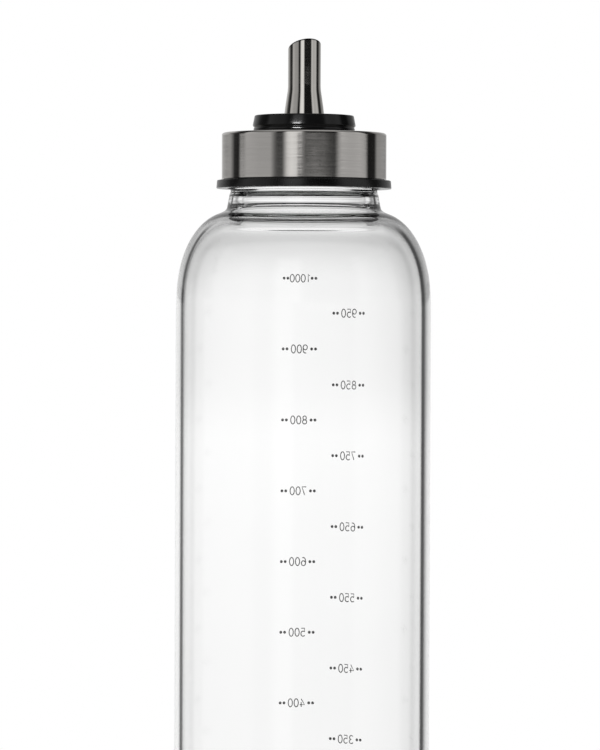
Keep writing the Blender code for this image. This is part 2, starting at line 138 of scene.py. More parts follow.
# Cap, sleeve and collar
GAP = 0.0003
ROUND = 0.0001                  # reach of the rounding on most corners
HOLE_ROUND = 0.00015
BEAD_ROUND = 0.00024
SOFT_ROUND = 0.00028            # on the flange's lower edge and the collar's lip
FLANGE_ROUND = 0.0003
COLLAR_ROUND = 0.0004
SKIRT_ROUND = 0.00045
FLANGE_HEIGHT = 0.0026
FLANGE_LIP = 0.0014
FLANGE_EASE = 0.0002
SKIRT_WALL = 0.0011
PLATE_THICKNESS = 0.0018
SLEEVE_WALL = 0.0004
SLEEVE_EDGE = 0.00085
SPIGOT_RADIUS = 0.0130
SNAP_REACH = 0.0009
SNAP_HEIGHT = 0.0012
SNAP_LEAD_IN = 0.0007
COLLAR_HEIGHT = 0.0052
COLLAR_EASE = 0.00017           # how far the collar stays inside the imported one
COLLAR_TAPER = 0.00062
COLLAR_PLATE = 0.0015
COLLAR_BORE_RADIUS = 0.0105
BEAD_HEIGHT = 0.0019
BEAD_GROOVE = 0.0005
LIP_HEIGHT = 0.00095
LIP_INSET = 0.0013
LIP_ROUND_BOTTOM = 0.0004
LIP_ROUND_TOP = 0.00065
INSERT_BEAD = 0.0005
INSERT_BEAD_HEIGHT = 0.0009

# Spout and air tube
SPOUT_RADIUS = 0.0051
SPOUT_WALL = 0.0005
SPOUT_FOOT_RADIUS = 0.0063
SPOUT_FLANGE_THICKNESS = 0.0006
SPOUT_BEND = 0.0008
SPOUT_FLARE_FOOT = 0.0003
SPOUT_FLARE = (0.0063, 0.00543)           # height and radius near the flare's upper end
SPOUT_FLARE_TOP = 0.0084
SPOUT_FLARE_END = 1.3 * SPOUT_FLARE_TOP
SPOUT_REACH = 0.0217
SPOUT_SLANT = math.radians(24.0)
SPOUT_LIP_AZIMUTH = math.radians(-70.0)   # the high side, turned from +X
SPOUT_LIP_ROUND = 0.00035                 # on the lip's outer edge only
SPOUT_LIP_LOOP = 0.0005                   # an edge loop this far below the lip
# Painted shade: the steel's colour is darkened along the cut lip, standing in for a dark
# reflection there
SPOUT_LIP_SHADE_DEPTH = 0.0006                   # depth of the painted shade at the cut
SPOUT_LIP_SHADE_COLOUR = (0.03, 0.03, 0.03)
AIR_TUBE_WALL = 0.0005

# Printed volume scale, on the outside of the back wall
SCALE_TOP = 0.2350              # height of the 1000 ml mark
SCALE_STEP = 0.01145            # 50 ml of the bore
SCALE_FIRST, SCALE_LAST, SCALE_INTERVAL = 1000, 50, 50
SCALE_LEAN = 0.0045             # the print leans by this share of its height
COLUMN_HUNDREDS = -0.0012       # distance along the wall from the middle of the back
COLUMN_FIFTIES = 0.0160
FOUR_DIGIT_PITCH = 0.95         # share of the usual pitch, in a number with four digits
INNER_DOT = 0.00419             # distance of a dot from the middle of its number
OUTER_DOT = 0.0055

# Studio, in degrees to the right of the camera or above the horizon, and brightness there
SIDE_BANDS = [
    (-180, 1.0), (-172, 1.0), (-160, 0.50), (-148, 0.38), (-138, 0.34), (-125, 0.42),
    (-119.5, 0.22), (-114, 0.03), (-104.5, 0.02), (-99.5, 0.47), (-48, 0.47), (-41, 0.17),
    (-35, 0.12), (-30, 0.15), (-23.5, 0.74), (-17, 0.98), (-11, 0.82), (-7.5, 0.24),
    (-1, 0.25), (14, 0.36), (27, 0.31), (35, 0.17), (43, 0.11), (50, 0.44), (60, 0.51),
    (95, 0.53), (101, 0.01), (116, 0.02), (124, 0.36), (139, 0.36), (158, 0.28),
    (180, 1.0)]
SPOUT_BANDS = [
    (-180, 0.60), (-150, 0.60), (-133, 0.50), (-124, 0.20), (-113, 0.05), (-100, 0.01),
    (-93.5, 0.10), (-88, 0.60), (-80, 0.55), (-66, 0.43), (-49, 0.41), (-42, 0.22),
    (-38, 0.01), (-31, 0.01), (-27.5, 0.30), (-23, 1.0), (-5, 1.07), (-2, 0.40), (2, 0.01),
    (46, 0.01), (49, 0.28), (54, 0.76), (64, 0.58), (73, 0.56), (84, 0.66), (91, 0.50),
    (97, 0.02), (116, 0.02), (124, 0.25), (144, 0.38), (160, 0.50), (180, 0.60)]
LOW_BANDS = [
    (-180, 1.0), (-150, 1.0), (-138, 0.6), (-132, 0.45), (-121, 0.30), (-115, 0.03),
    (-103, 0.03), (-98.5, 0.50), (-48, 0.50), (-42, 0.10), (-30, 0.10), (-27, 0.45),
    (-20, 0.95), (-11, 0.85), (-7, 0.14), (33, 0.08), (43, 0.04), (49, 0.45), (90, 0.50),
    (96.5, 0.50), (102.5, 0.02), (116, 0.03), (124, 0.36), (140, 0.50), (155, 1.0),
    (180, 1.0)]
# Each takes over from the one below between two rises, sines of the angle above the horizon
UPPER_BANDS = [
    (0.010, 0.024, SIDE_BANDS), (0.0520, 0.0545, SPOUT_BANDS),
    (0.50, 0.62, [(-180, 0.04), (180, 0.04)]), (0.72, 0.84, [(-180, 0.45), (180, 0.45)])]
BACKDROP = [
    (-17, 0.98), (-5.5, 0.99), (-4, 1.01), (-2.7, 1.025), (-1.5, 1.055), (-0.5, 1.005),
    (0.2, 1.0), (0.8, 0.99), (1.3, 0.955), (2, 0.895), (3, 0.83), (4.5, 0.78), (6.5, 0.66),
    (9, 0.66), (12, 0.70), (15, 0.75), (50, 0.80), (90, 1.0)]
BACKDROP_LOWEST = -0.3          # rise at which the backdrop's levels start
BACKDROP_SPAN = 45              # how far to either side the backdrop's own falloff is given
BACKDROP_CHANGE = (-0.027, 0.004)   # rise over which its sides change from low to high
BACKDROP_SIDES_LOW = [
    (-45, 1.0), (-40, 0.60), (-36, 0.35), (-33, 0.42), (-30, 0.60), (-26, 0.84),
    (-23, 0.88), (-20, 0.92), (-14, 0.96), (-8, 0.985), (0, 1.0), (3, 0.98), (4.3, 0.955),
    (6, 0.93), (8.8, 0.87), (10.7, 0.80), (13.6, 0.73), (20, 0.70), (23, 0.64), (26, 0.55),
    (30, 0.35), (36, 0.25), (40, 0.55), (45, 1.0)]
BACKDROP_SIDES_HIGH = [
    (-45, 1.0), (-40, 0.60), (-36, 0.32), (-32, 0.42), (-30, 0.52), (-26, 0.64),
    (-23, 0.72), (-17, 0.77), (-12.5, 0.83), (-10, 0.87), (-8.4, 0.90), (-6.8, 0.93),
    (-4.3, 0.97), (-2.5, 0.99), (0, 1.0), (2.9, 0.945), (4.3, 0.89), (6.1, 0.84),
    (7.3, 0.78), (8.8, 0.70), (10.7, 0.63), (16, 0.58), (20, 0.54), (23, 0.48),
    (26, 0.42), (29, 0.32), (36, 0.25), (40, 0.55), (45, 1.0)]
LAMP_AIM = 0.1                      # height at which the lamps are aimed
STUDIO_FLOOR_RADIUS = 0.6
STUDIO_FLOOR_FADE = (0.20, 0.55)    # distance over which it melts into the backdrop
STUDIO_FLOOR_LIFT = 0.22            # glow that lifts it to the backdrop's white
STUDIO_FLOOR_MIRRORED = 0.38        # share of that glow which metal mirrors


# Properties

class OilBottleGlassSettings(bpy.types.PropertyGroup):
    facets: IntProperty(
        name="Facets", description="Faces round the glass", default=256, min=48, max=512)
    tint: FloatVectorProperty(
        name="Tint", description="Colour of the clear glass", subtype="COLOR",
        size=3, min=0.0, max=1.0, default=(0.985, 0.986, 0.985))
    # Colour of the painted shade where the upright wall is seen edge on
    edge_tint: FloatVectorProperty(
        name="Edge Tint", description="Colour where the upright wall is seen edge on",
        subtype="COLOR", size=3, min=0.0, max=1.0, default=(0.002, 0.002, 0.002))
    index: FloatProperty(
        name="Refractive Index", description="Index of the glass", default=1.50,
        min=1.0, max=2.0)


class OilBottleScaleSettings(bpy.types.PropertyGroup):
    digit_height: FloatProperty(
        name="Digit Height", description="Height of a number to the middle of its strokes",
        default=0.00260, min=0.0005, max=0.01, subtype="DISTANCE", unit="LENGTH")
    digit_pitch: FloatProperty(
        name="Digit Pitch", description="Distance from one digit to the next",
        default=0.0020, min=0.0005, max=0.01, subtype="DISTANCE", unit="LENGTH")
    stroke: FloatProperty(
        name="Stroke", description="Width of a printed stroke", default=0.00032,
        min=0.00005, max=0.001, subtype="DISTANCE", unit="LENGTH")
    dot_radius: FloatProperty(
        name="Dot Radius", description="Radius of the dots beside a number",
        default=0.00049, min=0.0001, max=0.001, subtype="DISTANCE", unit="LENGTH")
    thickness: FloatProperty(
        name="Ink Thickness", description="How far the fired ink stands out of the glass",
        default=0.00003, min=0.00001, max=0.0002, subtype="DISTANCE", unit="LENGTH")
    colour: FloatVectorProperty(
        name="Ink", description="Colour of the fired ink", subtype="COLOR", size=3,
        min=0.0, max=1.0, default=(0.004, 0.004, 0.004))


class OilBottleClosureSettings(bpy.types.PropertyGroup):
    facets: IntProperty(
        name="Facets", description="Faces round the cap and its parts", default=192,
        min=48, max=512)
    brushed_colour: FloatVectorProperty(
        name="Brushed Steel", description="Colour of the sleeve", subtype="COLOR",
        size=3, min=0.0, max=1.0, default=(0.63, 0.61, 0.585))
    polished_colour: FloatVectorProperty(
        name="Polished Steel", description="Colour of the spout", subtype="COLOR",
        size=3, min=0.0, max=1.0, default=(0.64, 0.62, 0.585))
    black_colour: FloatVectorProperty(
        name="Black Plastic", description="Colour of the cap and the collar",
        subtype="COLOR", size=3, min=0.0, max=1.0, default=(0.003, 0.003, 0.003))
    line_density: FloatProperty(
        name="Brush Lines", description="Brush lines in one metre", default=1500.0,
        min=100.0, max=20000.0)
    finger_marks: BoolProperty(
        name="Finger Marks", description="Let handling dull the steel a little",
        default=True)


class OilBottleStageSettings(bpy.types.PropertyGroup):
    camera_distance: FloatProperty(
        name="Camera Distance", description="Distance from the bottle's axis",
        default=1.2529, min=0.2, max=10.0, subtype="DISTANCE", unit="LENGTH")
    camera_height: FloatProperty(
        name="Camera Height", description="Height above the floor", default=0.2236,
        min=0.0, max=2.0, subtype="DISTANCE", unit="LENGTH")
    camera_side: FloatProperty(
        name="Camera Side", description="Place across the view", default=-0.00107,
        min=-0.1, max=0.1, subtype="DISTANCE", unit="LENGTH")
    camera_pitch: FloatProperty(
        name="Camera Pitch", description="How far the camera looks down",
        default=math.radians(0.892), min=-1.0, max=1.0, subtype="ANGLE", unit="ROTATION")
    camera_roll: FloatProperty(
        name="Camera Roll", description="How far the camera leans to its left",
        default=math.radians(0.24), min=-0.2, max=0.2, subtype="ANGLE", unit="ROTATION")
    focal_length: FloatProperty(
        name="Focal Length", description="Focal length of the camera in millimetres",
        default=192.0, min=20.0, max=600.0)
    key_power: FloatProperty(
        name="Key Light", description="Power of the large soft lamp", default=9.0,
        min=0.0, max=200.0, subtype="POWER", unit="POWER")
    glint_power: FloatProperty(
        name="Glint", description="Power of the small lamp that only the collar mirrors",
        default=11.0, min=0.0, max=200.0, subtype="POWER", unit="POWER")
    ambient: FloatProperty(
        name="Ambient", description="Level of the light from all round", default=0.55,
        min=0.0, max=2.0)


# Outlines are lists of (radius, height)

def smooth(share):
    """A share that changes gently at both ends."""
    return share * share * (3 - 2 * share)


def arc(centre, radii, start_degrees, end_degrees, steps):
    """Points on a circle or an ellipse, both ends included."""
    points = []
    for step in range(steps + 1):
        angle = math.radians(start_degrees + (end_degrees - start_degrees) * step / steps)
        points.append((centre[0] + radii[0] * math.cos(angle),
                       centre[1] + radii[1] * math.sin(angle)))
    return points


def bent(handles, steps):
    """Points on a Bezier curve from the first handle to the last."""
    last = len(handles) - 1
    points = []
    for step in range(steps + 1):
        t = step / steps
        weights = [math.comb(last, index) * t ** index * (1 - t) ** (last - index)
                   for index in range(last + 1)]
        points.append(tuple(sum(weight * handle[axis] for weight, handle
                                in zip(weights, handles)) for axis in (0, 1)))
    return points


def blend(start, corner, end, steps):
    """Points on a curve that leaves start and reaches end along lines to corner."""
    return bent((start, corner, end), steps)


def eased(start, end, steps):
    """Points on a wall whose radius changes gently at both ends."""
    return [(start[0] + (end[0] - start[0]) * smooth(step / steps),
             start[1] + (end[1] - start[1]) * step / steps) for step in range(steps + 1)]


def domed(radius, middle, edge, steps=12):
    """Points from the axis out along a shallow dome, by its height there and at its edge."""
    return [(radius * step / steps, edge + (middle - edge) * (1 - (step / steps) ** 2))
            for step in range(steps + 1)]


def softened(corners, steps=4):
    """A closed outline whose corners, (radius, height, reach), are rounded off."""
    points = []
    for index, (radius, height, reach) in enumerate(corners):
        if reach == 0.0:
            points.append((radius, height))
            continue
        corner = Vector((radius, height))
        before = Vector(corners[index - 1][:2]) - corner
        after = Vector(corners[(index + 1) % len(corners)][:2]) - corner
        points += blend(corner + before.normalized() * reach, corner,
                        corner + after.normalized() * reach, steps)
    return points


def rows(start, end, height):
    """Points on a straight wall, a row apart."""
    count = max(1, round(abs(end[1] - start[1]) / height))
    return [(start[0] + (end[0] - start[0]) * step / count,
             start[1] + (end[1] - start[1]) * step / count) for step in range(count + 1)]


# Meshes

def turned(outline, facets, closed=True, material_index=0):
    """A bmesh of an outline turned round the Z axis."""
    shape = bmesh.new()
    points = [shape.verts.new((radius, 0.0, height)) for radius, height in outline]
    lines = [shape.edges.new(pair) for pair in zip(points, points[1:])]
    if closed:
        lines.append(shape.edges.new((points[-1], points[0])))
    bmesh.ops.spin(shape, geom=points + lines, cent=(0, 0, 0), axis=(0, 0, 1),
                   angle=math.tau, steps=facets, use_merge=True)
    for face in shape.faces:
        face.material_index = material_index
    return shape


def joined(shapes):
    """One bmesh of several."""
    whole = bmesh.new()
    for shape in shapes:
        mesh = bpy.data.meshes.new("share")
        shape.to_mesh(mesh)
        shape.free()
        whole.from_mesh(mesh)
        bpy.data.meshes.remove(mesh)
    return whole


def raise_thread(shape, wall_radius, crest_radius, start_height, start_turns, turns):
    """Push a helical ridge out of a wall that was turned with fine rows of faces."""
    for vert in shape.verts:
        if abs(vert.co.xy.length - wall_radius) > 1e-6:
            continue
        around = math.atan2(vert.co.y, vert.co.x) / math.tau
        lift = 0.0
        for lap in range(-2, 3):
            done = around + lap - start_turns
            if not 0.0 <= done <= turns:
                continue
            away = abs(vert.co.z - start_height - done * THREAD_PITCH)
            flank = (RIDGE_ROOT_HALF - away) / (RIDGE_ROOT_HALF - RIDGE_CREST_HALF)
            flank = min(max(flank, 0.0), 1.0)
            end = min(done, turns - done, RIDGE_TAPER_TURNS) / RIDGE_TAPER_TURNS
            lift = max(lift, smooth(flank) * end)
        if lift > 0.0:
            vert.co.xy *= (wall_radius + (crest_radius - wall_radius) * lift) / wall_radius


def finished(shape, name, materials, body, node=None):
    """Make a piece of a bmesh, in its place, and let it ride on its body."""
    bmesh.ops.remove_doubles(shape, verts=shape.verts, dist=1e-6)
    bmesh.ops.recalc_face_normals(shape, faces=shape.faces)
    mesh = bpy.data.meshes.new(name)
    shape.to_mesh(mesh)
    shape.free()
    mesh.shade_smooth()
    mesh.set_sharp_from_angle(angle=SHARP_ANGLE)
    for material in materials:
        mesh.materials.append(material)
    piece = bpy.data.objects.new(name, mesh)
    bpy.context.scene.collection.objects.link(piece)
    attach(piece, body)
    if node:
        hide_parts(node)
    return piece


# Material nodes

def feed(tree, target, value):
    """Link a socket to an input, or give the input a value."""
    if isinstance(value, bpy.types.NodeSocket):
        tree.links.new(value, target)
    else:
        target.default_value = value


def add(tree, kind, values=None, **settings):
    """A new node with its own settings, its inputs fed with sockets or values."""
    made = tree.nodes.new(kind)
    for name, value in settings.items():
        setattr(made, name, value)
    for name, value in (values or {}).items():
        feed(tree, made.inputs[name], value)
    return made


def sums(tree, operation, first, second=0.0):
    """A Math node on two sockets or numbers."""
    return add(tree, "ShaderNodeMath", {0: first, 1: second}, operation=operation).outputs[0]


def ranged(tree, value, low, high, to_low=0.0, to_high=1.0, kind="LINEAR"):
    """A value mapped from one range to another."""
    limits = {"From Min": low, "From Max": high, "To Min": to_low, "To Max": to_high}
    made = add(tree, "ShaderNodeMapRange", {"Value": value, **limits},
               interpolation_type=kind)
    return made.outputs["Result"]


def gradual(tree, value, low, high, to_low=0.0, to_high=1.0):
    """The same, changing gently at both ends."""
    return ranged(tree, value, low, high, to_low, to_high, "SMOOTHSTEP")


def mixed(tree, share, first, second):
    """Two colours mixed by a share."""
    return add(tree, "ShaderNodeMix", {0: share, 6: first, 7: second},
               data_type="RGBA").outputs[2]


def ramp(tree, share, stops):
    """Levels against a share, straight from one stop to the next."""
    made = add(tree, "ShaderNodeValToRGB", {"Fac": share})
    elements = made.color_ramp.elements
    while len(elements) < len(stops):
        elements.new(0.5)
    for element, (position, level) in zip(elements, stops):
        element.position = position
        element.color = (level, level, level, 1.0)
    return made.outputs["Color"]


def by_angle(tree, angle, reach, levels):
    """Levels given by the degrees to either side, as far as reach."""
    share = ranged(tree, angle, -math.radians(reach), math.radians(reach))
    return ramp(tree, share, [((degrees / reach + 1) / 2, level)
                              for degrees, level in levels])


def noise(tree, place, low, high, values, kind="LINEAR"):
    """Noise at a place, with its levels from low to high stretched to 0 to 1."""
    made = add(tree, "ShaderNodeTexNoise", {"Vector": place, **values})
    return ranged(tree, made.outputs["Fac"], low, high, kind=kind)


def colour(values, share=1.0):
    """Three values with a full alpha, made lighter or darker by a share."""
    return tuple(min(value * share, 1.0) for value in values) + (1.0,)


def tool_lines(group, place, density):
    """Fine lines left by a brush or a die, along or round the Z axis."""
    split = add(group, "ShaderNodeSeparateXYZ", {0: place}).outputs
    flat = add(group, "ShaderNodeCombineXYZ", {"X": split["X"], "Y": split["Y"]})
    radius = add(group, "ShaderNodeVectorMath", {0: flat.outputs[0]}, operation="LENGTH")
    height = sums(group, "ADD", split["Z"], radius.outputs["Value"])
    along = add(group, "ShaderNodeCombineXYZ", {"X": split["X"], "Y": split["Y"], "Z": height})
    scaled = add(group, "ShaderNodeVectorMath", {0: along.outputs[0], 1: density},
                 operation="MULTIPLY").outputs[0]
    return {"Lines": noise(group, scaled, 0.30, 0.70,
                           {"Scale": 1.0, "Detail": 3.0, "Roughness": 0.65}),
            "Streaks": noise(group, scaled, 0.35, 0.65,
                             {"Scale": 0.22, "Detail": 2.0, "Roughness": 0.5})}


def handling_marks(group, place, density):
    """Soft patches where a surface has been held or wiped."""
    values = {"Scale": density, "Detail": 3.0, "Roughness": 0.55, "Distortion": 0.6}
    return {"Marks": noise(group, place, 0.42, 0.68, values, "SMOOTHSTEP")}


def moulded_grain(group, place, density):
    """Fine grain of a moulded surface, with a slower change of tone."""
    slow = sums(group, "MULTIPLY", density, 0.05)
    return {"Grain": noise(group, place, 0.3, 0.7,
                           {"Scale": density, "Detail": 2.0, "Roughness": 0.6}),
            "Tone": noise(group, place, 0.3, 0.7,
                          {"Scale": slow, "Detail": 2.0, "Roughness": 0.5})}


def placed(tree, pattern, place, density):
    """A pattern's levels at a place, from a node group made when it is first needed."""
    group = bpy.data.node_groups.get(pattern.__name__)
    if not group:
        group = bpy.data.node_groups.new(pattern.__name__, "ShaderNodeTree")
        kind = "NodeSocketFloat" if isinstance(density, float) else "NodeSocketVector"
        for name, socket in (("Position", "NodeSocketVector"), ("Density", kind)):
            group.interface.new_socket(name, in_out="INPUT", socket_type=socket)
        given = group.nodes.new("NodeGroupInput").outputs
        levels = pattern(group, given["Position"], given["Density"])
        for name in levels:
            group.interface.new_socket(name, in_out="OUTPUT", socket_type="NodeSocketFloat")
        add(group, "NodeGroupOutput", levels)
    return add(tree, "ShaderNodeGroup", {"Position": place, "Density": density},
               node_tree=group).outputs


def new_material(name):
    """A material with its node tree, its shader and the socket of object coordinates."""
    material = bpy.data.materials.new(name)
    material.use_nodes = True
    tree = material.node_tree
    place = add(tree, "ShaderNodeTexCoord").outputs["Object"]
    return material, tree, tree.nodes["Principled BSDF"], place


def bumped(tree, shader, height, distance, strength=1.0):
    """Give a shader the relief of a height."""
    bump = add(tree, "ShaderNodeBump",
               {"Strength": strength, "Distance": distance, "Height": height})
    feed(tree, shader.inputs["Normal"], bump.outputs["Normal"])


def textured(made, base, contrast, tone, fine, rough, depth, handled):
    """Two tones, and a roughness and relief that follow a fine pattern.

    rough is a middle and a spread, handled the density of handling marks and their share.
    """
    material, tree, shader, place = made
    marks = placed(tree, handling_marks, place, handled[0])["Marks"]
    feed(tree, shader.inputs["Base Color"],
         mixed(tree, tone, colour(base, 1 - contrast), colour(base, 1 + contrast)))
    level = ranged(tree, fine, 0.0, 1.0, rough[0] - rough[1], rough[0] + rough[1])
    feed(tree, shader.inputs["Roughness"],
         sums(tree, "ADD", level, sums(tree, "MULTIPLY", marks, handled[1])))
    bumped(tree, shader, fine, depth)
    return material


def steel(name, base, contrast, rough, density, depth, marks, anisotropy=0.0):
    """Stainless steel with the lines of its tool."""
    made = new_material(name)
    _, tree, shader, place = made
    shader.inputs["Metallic"].default_value = 1.0
    shader.inputs["Anisotropic"].default_value = anisotropy
    if anisotropy > 0.0:
        tangent = add(tree, "ShaderNodeTangent", direction_type="RADIAL", axis="Z")
        feed(tree, shader.inputs["Tangent"], tangent.outputs[0])
        shader.inputs["Anisotropic Rotation"].default_value = 0.25
    lines = placed(tree, tool_lines, place, density)
    tone = sums(tree, "ADD", sums(tree, "MULTIPLY", lines["Lines"], 0.65),
                sums(tree, "MULTIPLY", lines["Streaks"], 0.35))
    return textured(made, base, contrast, tone, lines["Lines"], rough, depth, (90.0, marks))


def moulded(name, base, rough, density, depth, contrast=0.15, marks=0.0, specular=0.5):
    """Moulded plastic or silicone with a fine grain."""
    made = new_material(name)
    _, tree, shader, place = made
    shader.inputs["Specular IOR Level"].default_value = specular
    grain = placed(tree, moulded_grain, place, density)
    return textured(made, base, contrast, grain["Tone"], grain["Grain"], rough, depth,
                    (110.0, marks))


def clear_glass(name, settings, with_painted_edge_shade):
    """Clear glass that lets lamps shine through, with a painted shade on its upright walls and
    shoulder where they are seen edge on.
    """
    material, tree, shader, place = new_material(name)
    shader.inputs["Transmission Weight"].default_value = 1.0
    shader.inputs["IOR"].default_value = settings.index
    marks = placed(tree, handling_marks, place, 28.0)["Marks"]
    feed(tree, shader.inputs["Roughness"], sums(tree, "MULTIPLY", marks, 0.006))
    tone = mixed(tree, marks, colour(settings.tint), colour(settings.tint, 0.995))
    # Painted shade: the dark edge colour is mixed into the glass where its walls are seen edge
    # on
    if with_painted_edge_shade:
        facing = add(tree, "ShaderNodeLayerWeight").outputs["Facing"]
        normal = add(tree, "ShaderNodeNewGeometry").outputs["Normal"]
        normal = add(tree, "ShaderNodeSeparateXYZ", {0: normal}).outputs
        edge = mixed(tree, ranged(tree, normal["X"], -0.5, 0.5),
                     ramp(tree, facing, LEFT_EDGE_SHADE), ramp(tree, facing, RIGHT_EDGE_SHADE))
        upright = gradual(tree, sums(tree, "ABSOLUTE", normal["Z"]), *EDGE_SHADE_END, 1.0, 0.0)
        share = sums(tree, "MAXIMUM", sums(tree, "MULTIPLY", edge, upright),
                     sums(tree, "MULTIPLY", ramp(tree, facing, SHOULDER_EDGE_SHADE),
                          gradual(tree, normal["Z"], *SHOULDER_EDGE_SHADE_START)))
        tone = mixed(tree, share, tone, colour(settings.edge_tint))
    feed(tree, shader.inputs["Base Color"], tone)
    ripple = add(tree, "ShaderNodeTexNoise",
                 {"Vector": place, "Scale": 45.0, "Detail": 1.0, "Roughness": 0.4})
    bumped(tree, shader, ripple.outputs["Fac"], 0.00002, 0.6)

    ray = add(tree, "ShaderNodeLightPath").outputs
    passing = sums(tree, "MAXIMUM", ray["Is Shadow Ray"], ray["Is Diffuse Ray"])
    through = add(tree, "ShaderNodeBsdfTransparent", {"Color": (0.93, 0.94, 0.94, 1.0)})
    either = add(tree, "ShaderNodeMixShader",
                 {0: passing, 1: shader.outputs[0], 2: through.outputs[0]})
    feed(tree, tree.nodes["Material Output"].inputs["Surface"], either.outputs[0])
    return material


# Glass bottle

def shoulder_share(height):
    """How far up the shoulder a height is, from 0 to 1."""
    return min(max(height - BODY_HEIGHT, 0.0) / SHOULDER_RISE, 1.0)


def drawn_in(height):
    """How far a plain wall with an elliptical shoulder stands inside the wall's radius."""
    return SHOULDER_REACH * (1 - math.sqrt(1 - shoulder_share(height) ** 2))


def gently_drawn_in(height, samples=24):
    """The same, averaged over a span that closes towards the shoulder's top."""
    span = SHOULDER_EASE * (1 - shoulder_share(height) ** 2)
    return sum(drawn_in(height + span * ((2 * sample + 1) / samples - 1))
               for sample in range(samples)) / samples


def below_shoulder():
    """Heights of the rings where the wall starts to turn in, from the top down."""
    return [BODY_HEIGHT - SHOULDER_EASE * step / 10 for step in range(1, 12)]


def wall_thickness(height):
    """Thickness of the glass, which grows a little towards the neck."""
    crown = max(height - CROWN_START, 0.0) / (BODY_HEIGHT + SHOULDER_RISE - CROWN_START)
    return (WALL + SWELL * (1 + math.tanh((height - SWELL_HEIGHT) / SWELL_REACH)) / 2
            + CROWN_SWELL * crown ** 2.5)


def glass_outside(body_radius):
    """Hollow underside, foot, wall, shoulder, neck and the outer half of the rim."""
    rim = BOTTLE_HIGH.z
    points = domed(PUNT_RADIUS, PUNT_RISE, 0.0)
    points += arc((body_radius - FOOT_RADIUS, FOOT_RADIUS),
                  (FOOT_RADIUS, FOOT_RADIUS), -90, 0, 16)

    centre = body_radius - SHOULDER_REACH
    last_angle = math.degrees(math.acos(
        (NECK_FOOT_RADIUS + NECK_BLEND - centre) / SHOULDER_REACH))
    heights = below_shoulder()[::-1]
    heights += [height for _, height in arc((0, BODY_HEIGHT), (0, SHOULDER_RISE),
                                            0, last_angle, 50)]
    points += [(body_radius - gently_drawn_in(height), height) for height in heights]
    foot = points[-1]
    slope = (SHOULDER_RISE / SHOULDER_REACH) / math.tan(math.radians(last_angle))
    points += blend(foot, (NECK_FOOT_RADIUS, foot[1] + NECK_BLEND * slope),
                    (NECK_FOOT_RADIUS, foot[1] + NECK_BLEND_RISE), 14)[1:]
    step_foot = NECK_STEP_HEIGHT - NECK_STEP_REACH
    low = points[-1][1]
    for step in range(1, 9):
        points.append((NECK_FOOT_RADIUS - NECK_DRAW * (step / 8) ** NECK_DRAW_CURVE,
                       low + (step_foot - low) * step / 8))
    above_step = NECK_FOOT_RADIUS - NECK_DRAW - NECK_STEP
    points += eased(points[-1], (above_step, NECK_STEP_HEIGHT + NECK_STEP_REACH), 12)[1:]
    points += eased((above_step, NECK_TOP), (THREAD_ROOT_RADIUS, NECK_TOP + NECK_TAPER), 5)
    points += rows((THREAD_ROOT_RADIUS, NECK_TOP + NECK_TAPER),
                   (THREAD_ROOT_RADIUS, rim - RIM_ROUND), RIDGE_ROW)[1:]
    points += arc((THREAD_ROOT_RADIUS - RIM_ROUND, rim - RIM_ROUND),
                  (RIM_ROUND, RIM_ROUND), 0, 90, 8)[1:]
    points.append(((THREAD_ROOT_RADIUS + NECK_BORE_RADIUS) / 2, rim))
    return points


def glass_inside(body_radius):
    """Inner half of the rim, bore, inner shoulder, inner wall and floor."""
    points = [((THREAD_ROOT_RADIUS + NECK_BORE_RADIUS) / 2, BOTTLE_HIGH.z)]
    points += arc((NECK_BORE_RADIUS + RIM_ROUND, BOTTLE_HIGH.z - RIM_ROUND),
                  (RIM_ROUND, RIM_ROUND), 90, 180, 8)

    shoulder = []
    for step in range(49):
        angle = BEND_END * (1 - step / 48)
        across = Vector((math.cos(angle) / SHOULDER_REACH, math.sin(angle) / SHOULDER_RISE))
        height = BODY_HEIGHT + SHOULDER_RISE * math.sin(angle)
        outer = Vector((body_radius - gently_drawn_in(height), height))
        shoulder.append(outer - across.normalized() * wall_thickness(height))

    bore_top = BORE_FLARE_TOP + 2 * BORE_RIDGE_REACH
    for step in range(45):
        height = bore_top + (BORE_FOOT - bore_top) * step / 44
        share = min(max((BORE_FLARE_TOP - height) / (BORE_FLARE_TOP - BORE_FOOT), 0), 1)
        radius = NECK_BORE_RADIUS + BORE_FLARE * smooth(share)
        away = min(abs(height - BORE_RIDGE_HEIGHT) / BORE_RIDGE_REACH, 1)
        points.append((radius - BORE_RIDGE * (1 + math.cos(math.pi * away)) / 2, height))

    start = Vector(points[-1])
    end = shoulder[0]
    along = (end - shoulder[1]).normalized()
    corner = end + along * ((start.x - end.x) / along.x)
    points += bent((start, start.lerp(corner, BEND_HANDLES[0]),
                    end.lerp(corner, BEND_HANDLES[1]), end), 36)[1:]
    points += [tuple(point) for point in shoulder[1:]]

    floor_edge = body_radius - WALL
    heights = below_shoulder()
    heights += [heights[-1] - INNER_ROW * step for step in range(1, 18)]
    points += [(body_radius - gently_drawn_in(height) - wall_thickness(height), height)
               for height in heights]
    points += arc((floor_edge - FLOOR_RADIUS, BASE_THICKNESS + FLOOR_RADIUS),
                  (FLOOR_RADIUS, FLOOR_RADIUS), 0, -90, 14)
    return points + domed(floor_edge - FLOOR_RADIUS, BASE_THICKNESS + FLOOR_RISE,
                          BASE_THICKNESS)[-2::-1]


